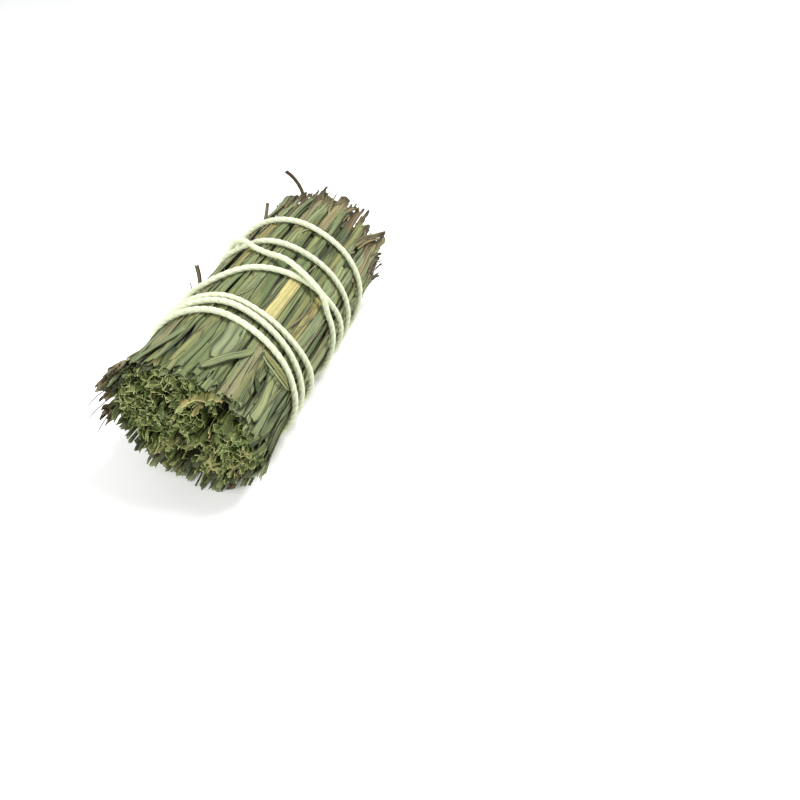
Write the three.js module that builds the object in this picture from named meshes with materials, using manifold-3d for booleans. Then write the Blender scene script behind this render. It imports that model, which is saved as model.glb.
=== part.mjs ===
// A bundle of cut and dried lemongrass leaves, wound with one length of cotton twine. Millimetres, +Z up.
// It lies along Y on its side: the trimmed leaf ends face -Y and the brown leaf tips face +Y.
// Places are given as an angle round the bundle (0 is +X, 90 is the top), a radius, and a run along it
// that starts at the trimmed ends.
import * as THREE from "three";
import { mergeVertices } from "three/addons/utils/BufferGeometryUtils.js";
import Module from "manifold-3d";

const wasm = await Module();
wasm.setup();

// Driving dimensions
const bundleRadius = 26; // over the leaves, where the twine holds them
const bundleLength = 120; // from the trimmed ends to the tips
const flareFront = 1.5; // how far the leaves spread past the last turn of twine
const taperBack = 0.9; // how far they draw in past the first
const tiedFrom = 20; // the run that the twine grips
const tiedTo = 99;
const twineDiameter = 2.2;
const leafThickness = 0.9; // a dried leaf and the fold in it
const clearance = 0.35; // between pieces that lie on each other

const twineRadius = twineDiameter / 2;
const twineTrack = bundleRadius + clearance + twineRadius; // the radius of the twine's own line
const squash = 1.2; // how far the weight flattens the underside
const axisHeight = twineTrack + twineRadius - squash;
const rootDepth = 0.5; // how deep the outer leaves are sunk in the packed core
const coreRadius = bundleRadius - leafThickness - rootDepth / 2;
const leafEndsFrom = 6; // the run where the packed core ends, with loose leaf ends beyond it
const leafEndsTo = bundleLength - 5;
const coreTaper = 0.8 * taperBack; // by its back end, where the leaves have drawn in about as far

const degrees = THREE.MathUtils.degToRad;
const { smoothstep, lerp } = THREE.MathUtils;

const leafGreen = new THREE.MeshStandardMaterial({ color: 0x7f8b55, roughness: 0.75, metalness: 0 });
const leafStraw = new THREE.MeshStandardMaterial({ color: 0xc8b872, roughness: 0.7, metalness: 0 });
const leafTan = new THREE.MeshStandardMaterial({ color: 0xa39668, roughness: 0.72, metalness: 0 });
const leafBrown = new THREE.MeshStandardMaterial({ color: 0x65503c, roughness: 0.8, metalness: 0 });
const cotton = new THREE.MeshStandardMaterial({ color: 0xe6edca, roughness: 0.9, metalness: 0 });

// The same draw every time, so that the bundle is always the same one.
function seededRandom(seed) {
  let state = seed;
  return () => {
    state = (state + 0x6d2b79f5) | 0;
    let mixed = Math.imul(state ^ (state >>> 15), 1 | state);
    mixed = (mixed + Math.imul(mixed ^ (mixed >>> 7), 61 | mixed)) ^ mixed;
    return ((mixed ^ (mixed >>> 14)) >>> 0) / 4294967296;
  };
}

// How far the leaves reach from the bundle's axis at a run.
function surfaceRadius(run) {
  const front = flareFront * (1 - smoothstep(run, 0, tiedFrom));
  const back = taperBack * smoothstep(run, tiedTo, bundleLength);
  return bundleRadius + front - back;
}

// The height that the underside of the leaves keeps: over the twine where it runs beneath them, and on
// the floor in front of it.
function undersideHeight(run) {
  const overTwine = twineDiameter + 1.5 * clearance;
  const pressed = -0.15; // the floor trims the leaves that lie on it to a small flat
  return lerp(pressed, overTwine, smoothstep(run, 6, tiedFrom));
}

// A place on the bundle. The underside is pressed flat, with each layer still on top of the one below.
function place(angle, radius, run, out = new THREE.Vector3()) {
  const lowest = undersideHeight(run) + surfaceRadius(run) - radius;
  const height = axisHeight + radius * Math.sin(angle);
  return out.set(radius * Math.cos(angle), run, Math.max(height, lowest));
}

// Moves every corner of a shape by a rule.
function reshape(geometry, rule) {
  const position = geometry.getAttribute("position");
  const corner = new THREE.Vector3();
  for (let i = 0; i < position.count; i++) {
    rule(corner.fromBufferAttribute(position, i));
    position.setXYZ(i, corner.x, corner.y, corner.z);
  }
  return geometry;
}

// A closed shape as a solid that can be joined and cut.
function solid(geometry) {
  const bare = geometry.clone();
  bare.deleteAttribute("normal");
  bare.deleteAttribute("uv");
  const merged = mergeVertices(bare, 1e-4);
  const triVerts = new Uint32Array(merged.index.array);
  const mesh = { numProp: 3, vertProperties: merged.attributes.position.array, triVerts };
  const made = new wasm.Manifold(new wasm.Mesh(mesh));
  if (made.volume() > 0) return made;
  for (let i = 0; i < triVerts.length; i += 3) {
    [triVerts[i + 1], triVerts[i + 2]] = [triVerts[i + 2], triVerts[i + 1]];
  }
  return new wasm.Manifold(new wasm.Mesh(mesh));
}

// Joins solids. Hollows that the join seals are filled, and scraps that touch nothing are dropped.
function joined(solids) {
  const all = solids.reduce((sum, next) => sum.add(next));
  const bodies = all.decompose();
  return bodies.reduce((largest, body) => (body.volume() > largest.volume() ? body : largest));
}

// Everything under the floor that the bundle lies on is cut away, which leaves small flat spots to rest on.
function cutAtFloor(made) {
  const depth = 20;
  const slab = new THREE.BoxGeometry(4 * bundleRadius, 2 * bundleLength, depth);
  slab.translate(0, bundleLength / 2, -depth / 2);
  return made.subtract(solid(slab));
}

function meshOf(name, made, material) {
  const { vertProperties, triVerts, numProp, numVert } = made.getMesh();
  const corners = new Float32Array(numVert * 3);
  for (let i = 0; i < numVert; i++) {
    corners.set(vertProperties.subarray(i * numProp, i * numProp + 3), i * 3);
  }
  const geometry = new THREE.BufferGeometry();
  geometry.setAttribute("position", new THREE.BufferAttribute(corners, 3));
  geometry.setIndex(new THREE.BufferAttribute(new Uint32Array(triVerts), 1));
  geometry.computeVertexNormals();
  const mesh = new THREE.Mesh(geometry, material);
  mesh.name = name;
  return mesh;
}

// The packed middle of the bunch, which every leaf below stands out of.
function packedMiddle() {
  const sides = 30;
  const edge = 1.4;
  const flare = 0.6;
  const profile = [
    [0, leafEndsFrom],
    [coreRadius - edge, leafEndsFrom],
    [coreRadius + flare, leafEndsFrom + edge],
    [coreRadius, tiedFrom],
    [coreRadius, tiedTo],
    [coreRadius - coreTaper, leafEndsTo - edge],
    [coreRadius - coreTaper - edge, leafEndsTo],
    [0, leafEndsTo],
  ].map(([radius, run]) => new THREE.Vector2(radius, run));
  const turned = new THREE.LatheGeometry(profile, sides);
  return solid(
    reshape(turned, (corner) => {
      const radius = Math.hypot(corner.x, corner.z);
      place(Math.atan2(corner.z, corner.x), radius, corner.y, corner);
    }),
  );
}

// A leaf that lies on the outside: a strip with a raised midrib, bent round the bundle and cut off aslant.
// lift raises one end off the bundle, at the tip or, where tipAt is "front", at the trimmed end, and sway
// leans that end sideways.
function outerLeaf(leaf) {
  const { angle, from, to, width, inner, slant, drift } = leaf;
  const { lift = 0, liftOver = 10, sway = 0, tipAt = "back" } = leaf;
  const along = Math.max(3, Math.round((to - from) / 20) + (lift ? 4 : 0));
  const midrib = 0.25;
  const strip = new THREE.BoxGeometry(width, to - from, 1, 2, along, 1);
  return reshape(strip, (corner) => {
    const share = corner.y / (to - from) + 0.5;
    const across = corner.x / (width / 2);
    const aslant = slant * across * (1 - 2 * share);
    const run = lerp(from, to, share) + aslant;
    const toTip = tipAt === "back" ? to - run : run - from;
    const bent = 1 - smoothstep(toTip, 0, liftOver);
    const outer = surfaceRadius(run) - midrib * Math.abs(across);
    const radius = (corner.z > 0 ? outer : inner(run)) + lift * bent;
    const turn = (corner.x + drift * (run / bundleLength - 0.5) - sway * bent) / bundleRadius;
    place(angle - turn, radius, run, corner);
  });
}

// The inner face of a leaf that is a piece of its own, and of one that is fused to the middle.
const loose = (run) => surfaceRadius(run) - leafThickness;
const sunk = (run) => loose(run) - rootDepth;

// A folded leaf end that stands out of an end face. Its root is sunk in the middle.
function leafEnd(random, { x, z, root, end, halfWidth, thickness }) {
  const fold = degrees(lerp(28, 62, random()));
  const twist = random() * Math.PI * 2;
  const slant = lerp(-0.8, 0.8, random());
  const lean = lerp(-0.5, 0.5, random());
  const blade = new THREE.BoxGeometry(2 * halfWidth, 1, thickness, 2, 1, 1);
  reshape(blade, (corner) => {
    const out = corner.y + 0.5; // 0 at the root, 1 at the cut
    const across = corner.x / halfWidth;
    const run = lerp(root, end + slant * across, out);
    corner.z += Math.abs(corner.x) * Math.sin(fold) + lean * out;
    corner.x *= Math.cos(fold);
    corner.y = run;
  });
  blade.rotateY(twist);
  blade.translate(x, 0, z);
  return blade;
}

// Leaf ends spread evenly over an end face, as seeds are in a sunflower.
function leafEnds(random, { count, root, from, to, halfWidth, thickness, inset }) {
  const goldenAngle = degrees(137.508);
  const reach = coreRadius - halfWidth - inset;
  const ends = [];
  for (let i = 0; i < count; i++) {
    const radius = reach * Math.sqrt((i + 0.5) / count);
    const x = radius * Math.cos(i * goldenAngle);
    const z = axisHeight + radius * Math.sin(i * goldenAngle);
    const end = lerp(from, to, random());
    ends.push(leafEnd(random, { x, z, root, end, halfWidth, thickness }));
  }
  return ends;
}

// Slots round the bundle, one strip wide. The strips of a slot may be two shorter leaves, end to end.
const slotCount = 42;
const slotWidth = (2 * Math.PI * bundleRadius) / slotCount;
const slotAngle = (slot) => ((slot + 0.5) / slotCount) * 2 * Math.PI;
// Neighbouring leaves lean alike, so that none crosses the next.
const slotDrift = (slot) => 1.6 * Math.sin(3 * slotAngle(slot) + 0.6);

// Leaves that are seen one by one: straw and tan ones among the green, brown ones, and stray ones that
// stick out.
const singleLeaves = [
  { name: "straw_leaf_1", slot: 6, from: 38, to: 64, width: 3.2 },
  { name: "straw_leaf_2", slot: 3, from: 40, to: 66, width: 2.4 },
  { name: "straw_leaf_3", slot: 12, from: 52, to: 92, width: 2.6 },
  { name: "straw_leaf_4", slot: 25, from: 8, to: 60, width: 2.8 },
  { name: "straw_leaf_5", slot: 36, from: 50, to: 112, width: 2.6 },
  { name: "tan_leaf_1", slot: 5, from: 3, to: 29, width: 3.2 },
  { name: "tan_leaf_2", slot: 13, from: 4, to: 50, width: 2.8 },
  { name: "tan_leaf_3", slot: 9, from: 92, to: 121, width: 3.0 },
  { name: "tan_leaf_4", slot: 20, from: 30, to: 116, width: 2.8 },
  { name: "tan_leaf_5", slot: 39, from: 5, to: 80, width: 2.8 },
  { name: "brown_leaf_1", slot: 1, from: 90, to: 126, width: 3.0, lift: 2.4, liftOver: 14 },
  { name: "brown_leaf_2", slot: 17, from: 1, to: 30, width: 3.2, lift: 2.4, tipAt: "front" },
  { name: "brown_leaf_3", slot: 19, from: 3, to: 44, width: 3.0, lift: 1.6, tipAt: "front" },
  { name: "brown_leaf_4", slot: 28, from: 60, to: 122, width: 2.8 },
  { name: "brown_leaf_5", slot: 34, from: 1.5, to: 46, width: 2.6 },
  { name: "brown_leaf_6", slot: 7, from: 96, to: 124, width: 2.8, lift: 0.8 },
  { name: "stray_leaf_1", slot: 11, from: 98, to: 128, width: 1.6, lift: 9.4, liftOver: 16, sway: 10.4 },
  { name: "stray_leaf_2", slot: 14, from: 79, to: 106, width: 1.4, lift: 5, liftOver: 10 },
  { name: "stray_leaf_3", slot: 16, from: 48.5, to: 62, width: 1.6, lift: 6.5, liftOver: 9 },
];

const materialOf = { straw: leafStraw, tan: leafTan, brown: leafBrown, stray: leafBrown };

function singleLeaf({ name, slot, ...leaf }) {
  const lie = { angle: slotAngle(slot), drift: slotDrift(slot), inner: loose, slant: 0.6 };
  const strip = outerLeaf({ ...lie, ...leaf });
  const [kind] = name.split("_");
  return meshOf(name, cutAtFloor(solid(strip)), materialOf[kind]);
}

// The green leaves of the outside, slot by slot, leaving room for the single ones.
function outerGreenLeaves(random) {
  const gap = 1.9; // between two leaves that lie end to end
  const leaves = [];
  for (let slot = 0; slot < slotCount; slot++) {
    const angle = slotAngle(slot);
    const front = lerp(0.5, 5, random());
    const back = bundleLength + lerp(-3, 3, random());
    const cut = lerp(30, 85, random());
    const halved = random() < 0.3;
    const singles = singleLeaves.filter((leaf) => leaf.slot === slot);
    let stretches = halved ? [[front, cut], [cut + gap, back]] : [[front, back]];
    for (const { from, to } of singles) {
      stretches = [[front, from - gap], [to + gap, back]];
    }
    for (const [from, to] of stretches.filter(([low, high]) => high - low > 8)) {
      const width = lerp(2.7, slotWidth - 0.4, random());
      const slant = lerp(-0.9, 0.9, random());
      leaves.push(outerLeaf({ angle, from, to, width, inner: sunk, slant, drift: slotDrift(slot) }));
    }
  }
  return leaves;
}

function leafBunch() {
  const random = seededRandom(7);
  const frontEnds = {
    count: 112,
    root: leafEndsFrom + 4,
    from: 0.4,
    to: 4.6,
    halfWidth: 2.1,
    thickness: 0.75,
    inset: 0.6,
  };
  const backTips = {
    count: 60,
    root: leafEndsTo - 4,
    from: bundleLength - 2.5,
    to: bundleLength + 3,
    halfWidth: 2.3,
    thickness: 0.8,
    inset: 1.4,
  };
  const shapes = [
    ...outerGreenLeaves(random),
    ...leafEnds(random, frontEnds),
    ...leafEnds(random, backTips),
  ];
  const whole = joined([packedMiddle(), ...shapes.map(solid)]);
  return meshOf("leaf_bunch", cutAtFloor(whole), leafGreen);
}

// The twine's route. Each turn goes over the top from the left to the right and back underneath, and gives
// its run at these angles. The last turn comes back over the others, to the knot on the left side.
const turnAngles = [180, 120, 90, 60, 30, 0, -45, -90, -135];
const turnRuns = [
  [26.5, 29.2, 30.8, 29.8, 28.4, 26.8, 25.5, 27.0, 29.0],
  [31.0, 33.8, 36.4, 35.2, 33.6, 32.2, 31.6, 32.2, 33.6],
  [35.2, 37.2, 39.3, 38.1, 38.0, 40.0, 43.0, 43.5, 43.2],
  [43.2, 48.0, 57.5, 62.6, 66.2, 69.8, 70.8, 71.2, 72.2],
  [73.4, 74.2, 76.4, 76.6, 77.6, 78.0, 76.8, 76.4, 79.2],
  [86.0, 92.2, 93.2, 92.5, 92.8, 92.0, 87.0, 85.6, 85.0],
  [79.6, 75.0, 68.6, 64.4, 62.6, 62.0, 59.0, 57.5, 49.0],
];
const knotAngle = -165;
const knotRun = 24;
// Where a turn climbs over an earlier one: the angles between which it rises, stays up, and comes down.
const lastTurn = turnRuns.length - 1;
const climbs = [
  { turn: lastTurn, angles: [152, 136, 109, 70] },
  { turn: lastTurn, angles: [92, 66, 40, 16] },
  { turn: lastTurn, angles: [-102, -136, -180, -214] },
  { turn: lastTurn - 1, angles: [-137, -153, -173, -189] },
];

function climbAt(turn, angle) {
  const rise = twineDiameter + 0.35;
  const heights = climbs
    .filter((climb) => climb.turn === turn)
    .map(({ angles: [start, up, down, end] }) => {
      return smoothstep(angle, end, down) * (1 - smoothstep(angle, up, start));
    });
  return rise * Math.max(0, ...heights);
}

// The whole route as points, from the knot round the bundle and back to it.
function twineRoute() {
  const marks = [{ turn: 0, angle: 360 + knotAngle, run: knotRun + 0.8 }];
  turnRuns.forEach((runs, turn) => {
    runs.forEach((run, i) => marks.push({ turn, angle: turnAngles[i], run }));
  });
  marks.push({ turn: lastTurn, angle: knotAngle, run: knotRun + 1.5 });
  const turned = ({ turn, angle }) => 360 * turn - angle;
  const unrolled = marks.map((mark) => new THREE.Vector3(turned(mark), mark.run, 0));
  const guide = new THREE.CatmullRomCurve3(unrolled);
  const pointsPerTurn = 26;
  const count = Math.round(turnRuns.length * pointsPerTurn);
  const route = [];
  for (let i = 0; i <= count; i++) {
    const { x, y } = guide.getPoint(i / count);
    const turn = Math.min(lastTurn, Math.max(0, Math.floor((x + 180) / 360)));
    const angle = 360 * turn - x;
    const radius = twineTrack + climbAt(turn, angle);
    const height = axisHeight + radius * Math.sin(degrees(angle));
    const lowest = twineRadius - 0.12 + (radius - twineTrack);
    route.push(new THREE.Vector3(radius * Math.cos(degrees(angle)), y, Math.max(height, lowest)));
  }
  return route;
}

// A round cord along points.
function cordAlong(points, steps, radius = twineRadius) {
  const sides = 8;
  const section = new THREE.Shape();
  for (let i = 0; i < sides; i++) {
    const turn = (2 * Math.PI * i) / sides;
    const corner = [radius * Math.cos(turn), radius * Math.sin(turn)];
    if (i === 0) section.moveTo(...corner);
    else section.lineTo(...corner);
  }
  section.closePath();
  const path = new THREE.CatmullRomCurve3(points);
  return new THREE.ExtrudeGeometry(section, { steps, extrudePath: path });
}

// Three tight loops of cord lie across each other as the knot.
function knotLoops(middle) {
  const tilts = [
    [0.2, 1.57, 0],
    [1.2, 1.1, 0.3],
    [-1.1, 1.9, -0.2],
  ];
  return tilts.map(([x, y, z]) => {
    const loop = new THREE.TorusGeometry(1.75, twineRadius, 6, 12);
    loop.rotateX(x).rotateY(y).rotateZ(z);
    return loop.translate(middle.x, middle.y, middle.z);
  });
}

// A free end of the twine, from the knot along the leaves. Each mark is an angle, a rise and a run.
function twineTail(marks, startRadius) {
  const points = marks.map(([angle, rise, run]) => place(degrees(angle), startRadius + rise, run));
  return cordAlong(points, 7);
}

function twine() {
  const route = twineRoute();
  const knotRadius = twineTrack + 2.4;
  const middle = place(degrees(knotAngle), knotRadius, knotRun);
  const tails = [
    [[-158, 0.6, 20], [-152, 0, 15.5], [-150, 0.4, 11]],
    [[-172, 0.8, 20.5], [-177, 1.0, 17.5], [-179, 0.6, 15]],
  ].map((marks) => twineTail([[knotAngle, 0, knotRun], ...marks], knotRadius));
  const shapes = [
    cordAlong(route, 200),
    new THREE.SphereGeometry(1.9, 10, 6).translate(middle.x, middle.y, middle.z),
    ...knotLoops(middle),
    ...tails,
  ];
  return meshOf("twine", cutAtFloor(joined(shapes.map(solid))), cotton);
}

const bundle = new THREE.Group();
bundle.name = "lemongrass bundle";
bundle.add(leafBunch(), twine(), ...singleLeaves.map(singleLeaf));

// The origin is on the floor, under the middle of the whole bundle.
const extent = new THREE.Box3().setFromObject(bundle);
bundle.position.set(-(extent.min.x + extent.max.x) / 2, -(extent.min.y + extent.max.y) / 2, -extent.min.z);

export default bundle;
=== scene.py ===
import bisect
from math import atan2, cos, degrees, exp, floor, hypot, pi, radians, sin, sqrt, tan, tau
import random

import bmesh
import bpy
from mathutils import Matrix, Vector, noise


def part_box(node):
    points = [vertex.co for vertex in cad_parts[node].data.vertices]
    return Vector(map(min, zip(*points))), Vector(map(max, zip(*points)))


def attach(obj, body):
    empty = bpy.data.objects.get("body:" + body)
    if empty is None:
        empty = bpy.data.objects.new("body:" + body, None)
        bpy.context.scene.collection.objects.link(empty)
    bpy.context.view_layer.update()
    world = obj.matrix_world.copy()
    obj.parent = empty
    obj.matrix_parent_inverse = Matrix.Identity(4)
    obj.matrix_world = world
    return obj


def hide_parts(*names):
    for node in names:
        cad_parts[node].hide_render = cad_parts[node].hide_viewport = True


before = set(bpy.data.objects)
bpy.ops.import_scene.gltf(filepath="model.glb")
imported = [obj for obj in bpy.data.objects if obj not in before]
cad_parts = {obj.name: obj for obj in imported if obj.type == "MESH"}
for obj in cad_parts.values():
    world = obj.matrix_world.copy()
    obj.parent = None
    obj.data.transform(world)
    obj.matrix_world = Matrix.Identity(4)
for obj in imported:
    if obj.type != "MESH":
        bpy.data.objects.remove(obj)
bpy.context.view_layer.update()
mm = 0.001
print("frame loaded,", len(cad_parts), "nodes")

# The bundle as a whole, in mm. Angles go round it in degrees, from +X over the top at 90.
# Runs go along it, from the trimmed ends at 0 to the brown tips.
bundle = {
    "radius": 26.0,  # over the leaves, where the twine holds them
    "length": 120.0,
    "flareFront": 1.5,
    "taperBack": 0.9,
    "tiedFrom": 20.0,
    "tiedTo": 99.0,
    "axisHeight": 27.35,
    "twineTrack": 27.45,  # radius of the twine's own line
    "twineRadius": 1.1,
    "twineGap": 0.3,  # between the twine and the leaves over it, on the underside
    "crossingGap": 0.2,
    "floorGap": 0.15,
    "liftedFrom": 6.0,
    "longestRun": 128.6,  # where the longest stray leaf ends
}
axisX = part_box("twine")[1].x / mm - bundle["twineTrack"] - bundle["twineRadius"]
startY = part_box("stray_leaf_1")[1].y / mm - bundle["longestRun"]


def addObject(name, data):
    added = bpy.data.objects.new(name, data)
    bpy.context.scene.collection.objects.link(added)
    return added


cameraView = {
    "fromAxisStart": (108.27, -114.29, 150.19),  # mm from where the bundle's own line starts
    "tilt": 46.285,
    "turn": 17.128,
    "lens": 28.925,
    "nearest": 0.01,
}
cameraData = bpy.data.cameras.new("camera")
cameraData.lens = cameraView["lens"]
cameraData.sensor_width = 36
cameraData.clip_start = cameraView["nearest"]
cameraObject = addObject("camera", cameraData)
cameraObject.location = (
    Vector(cameraView["fromAxisStart"]) + Vector((axisX, startY, bundle["axisHeight"]))
) * mm
cameraObject.rotation_euler = (radians(cameraView["tilt"]), 0, radians(cameraView["turn"]))
bpy.context.scene.camera = cameraObject


def lerp(low, high, share):
    return low + (high - low) * share


def smoothstep(value, low, high):
    share = min(1.0, max(0.0, (value - low) / (high - low)))
    return share * share * (3 - 2 * share)


# Smooth noise, from about -1 to 1.
def ripple(x, y, z):
    return noise.noise(Vector((x, y, z)))


def surfaceRadius(run):
    front = bundle["flareFront"] * (1 - smoothstep(run, 0, bundle["tiedFrom"]))
    back = bundle["taperBack"] * smoothstep(run, bundle["tiedTo"], bundle["length"])
    return bundle["radius"] + front - back


def undersideHeight(run):
    overTwine = 2 * bundle["twineRadius"] + bundle["twineGap"]
    return overTwine * smoothstep(run, bundle["liftedFrom"], bundle["tiedFrom"])


# A place on the bundle, in metres. The underside is pressed flat over the turns of twine.
def place(angle, radius, run):
    lowest = max(bundle["floorGap"], undersideHeight(run) + surfaceRadius(run) - radius)
    height = bundle["axisHeight"] + radius * sin(angle)
    blend = 0.6  # mm over which the round side turns into the flat underside
    if height < lowest + blend:
        height = lowest + blend * exp((height - lowest - blend) / blend)
    return Vector((axisX + radius * cos(angle), startY + run, height)) * mm


# The twine's route, as in the solid: seven turns, each given by its runs at these angles.
turnAngles = [180, 120, 90, 60, 30, 0, -45, -90, -135]
turnRuns = [
    [26.5, 29.2, 30.8, 29.8, 28.4, 26.8, 25.5, 27.0, 29.0],
    [31.0, 33.8, 36.4, 35.2, 33.6, 32.2, 31.6, 32.2, 33.6],
    [35.2, 37.2, 39.3, 38.1, 38.0, 40.0, 43.0, 43.5, 43.2],
    [43.2, 48.0, 57.5, 62.6, 66.2, 69.8, 70.8, 71.2, 72.2],
    [73.4, 74.2, 76.4, 76.6, 77.6, 78.0, 76.8, 76.4, 79.2],
    [86.0, 92.2, 93.2, 92.5, 92.8, 92.0, 87.0, 85.6, 85.0],
    [79.6, 75.0, 68.6, 64.4, 62.6, 62.0, 59.0, 57.5, 49.0],
]
lastTurn = len(turnRuns) - 1
knot = {"angle": -165, "run": 24.0, "rise": 2.4}
# Where a turn climbs over an earlier one: the turn, the angles between which it rises and comes down, and
# its height in thicknesses of twine. One turn is pressed into the leaves where another crosses it.
climbs = [
    (lastTurn, (138, 120, 112, 98), 0.85),
    (lastTurn - 2, (140, 122, 112, 98), -0.2),
    (lastTurn, (90, 66, 40, 16), 1),
    (lastTurn, (-102, -136, -180, -214), 1),
    (lastTurn - 1, (-137, -153, -173, -189), 1),
]

routeMarks = [(-360 - knot["angle"], knot["run"] + 0.8)]
for turn, runs in enumerate(turnRuns):
    routeMarks += [(360 * turn - angle, run) for angle, run in zip(turnAngles, runs)]
routeMarks.append((360 * lastTurn - knot["angle"], knot["run"] + 1.5))
markTurns = [turned for turned, run in routeMarks]


# The two marks of a span, with the one before and the one after.
def marksRound(marks, i):
    return [marks[min(len(marks) - 1, max(0, k))] for k in range(i - 1, i + 3)]


# A smooth line from start to end, which also fits the marks before and after them.
def smoothBetween(before, start, end, after, share):
    square, cube = share**2, share**3
    return (
        start * (1 - 2.5 * square + 1.5 * cube)
        + end * (0.5 * share + 2 * square - 1.5 * cube)
        + before * (-0.5 * share + square - 0.5 * cube)
        + after * (-0.5 * square + 0.5 * cube)
    )


# The run that the twine has reached after so many degrees, smooth through marks that aren't evenly spaced.
def twineRun(turned):
    i = min(len(routeMarks) - 2, max(0, bisect.bisect_right(markTurns, turned) - 1))
    before, start, end, after = marksRound(routeMarks, i)
    span = end[0] - start[0]
    share = (turned - start[0]) / span
    slopeIn = (end[1] - before[1]) / (end[0] - before[0]) * span
    slopeOut = (after[1] - start[1]) / (after[0] - start[0]) * span
    square, cube = share**2, share**3
    return (
        (2 * cube - 3 * square + 1) * start[1]
        + (cube - 2 * square + share) * slopeIn
        + (3 * square - 2 * cube) * end[1]
        + (cube - square) * slopeOut
    )


def climbAt(turned):
    turn = min(lastTurn, max(0, floor((turned + 180) / 360)))
    angle = 360 * turn - turned
    rise = 2 * bundle["twineRadius"] + bundle["crossingGap"]
    height = 0.0
    for climbingTurn, (start, up, down, end), thicknesses in climbs:
        if climbingTurn == turn:
            height += thicknesses * smoothstep(angle, end, down) * (1 - smoothstep(angle, up, start))
    return rise * height


# The twine draws the leaves together under each turn, and they swell between the turns.
press = {
    "reach": 2.4,  # mm to each side of a turn
    "swell": 0.4,
    "level": -0.12,
    "tableStep": 4,  # degrees
    "tightens": (12, 26),
    "loosens": (100, 116),
}
turnTable = [
    [twineRun(360 * turn - angle) for angle in range(180, -181, -press["tableStep"])]
    for turn in range(len(turnRuns))
]


# How firmly the twine holds the leaves at a place, from 0 to 1, and how far they swell there.
def heldAt(angle, run):
    degreesRound = degrees(angle) % 360
    if degreesRound > 180:
        degreesRound -= 360
    position = (180 - degreesRound) / press["tableStep"]
    first = min(len(turnTable[0]) - 2, int(position))
    held = 0.0
    for table in turnTable:
        distance = run - lerp(table[first], table[first + 1], position - first)
        if abs(distance) < 3 * press["reach"]:
            held = max(held, exp(-((distance / press["reach"]) ** 2)))
    tied = smoothstep(run, *press["tightens"]) * (1 - smoothstep(run, *press["loosens"]))
    return held * tied, press["swell"] * tied * (1 - held)


# Colours are written as sRGB hex, and the shaders take them as linear values.
def linear(hexColour):
    parts = [int(hexColour[i : i + 2], 16) / 255 for i in (1, 3, 5)]
    return (*(p / 12.92 if p <= 0.04045 else ((p + 0.055) / 1.055) ** 2.4 for p in parts), 1.0)


# Adds a node with its inputs, as values or links, its settings and, on a ramp, its colour stops. It gives
# back the output that is used.
def addNode(tree, kind, inputs, output=0, stops=(), **settings):
    node = tree.nodes.new(kind)
    for name, value in settings.items():
        setattr(node, name, value)
    for socket, value in inputs.items():
        if isinstance(value, bpy.types.NodeSocket):
            tree.links.new(value, node.inputs[socket])
        else:
            node.inputs[socket].default_value = value
    for i, (position, colour) in enumerate(stops):
        if i > 1:
            node.color_ramp.elements.new(position)
        element = node.color_ramp.elements[i]
        element.position, element.color = position, linear(colour)
    return node.outputs[output]


def newMaterial(name):
    material = bpy.data.materials.new(name)
    material.use_nodes = True
    tree = material.node_tree
    return material, tree, tree.nodes["Principled BSDF"]


# A dried grass leaf: matt to satin, with veins and streaks along it, thin cracks darkened with painted
# shade, yellowed blotches, brown where its tip has withered, and painted shade where other leaves cover it.
# Real veins
# are 0.3 mm apart: they are drawn coarser, to show.
leafLook = {
    "veinSpacing": 0.55,  # mm
    "veinDepth": 0.14,
    "streakWidth": 0.8,
    "crackSpacing": 1.5,
    "blotchSize": 7.0,
    "patternScale": (1.0, 0.05, 60.0),  # across a leaf, along it, and from one leaf to the next
    "blotchStreaks": 0.8,
    "blotchFrom": (0.88, 1.12),
    "dryFrom": (0.75, 1.25),
    "streakTone": (0.6, 1.24),
    "veinTone": (0.84, 1.08),
    "crackShadeTone": (0.35, 1.0),
    "paintedShadeTone": (1.0, 0.22),  # painted shade: none in the open, and dark where other leaves cover it
    "bump": 0.7,
    "roughness": (0.5, 0.78),
    "specular": 0.35,
}
leafLayerNames = ("acrossMm", "alongMm", "tint", "dry", "depth", "cutEdge")


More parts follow.
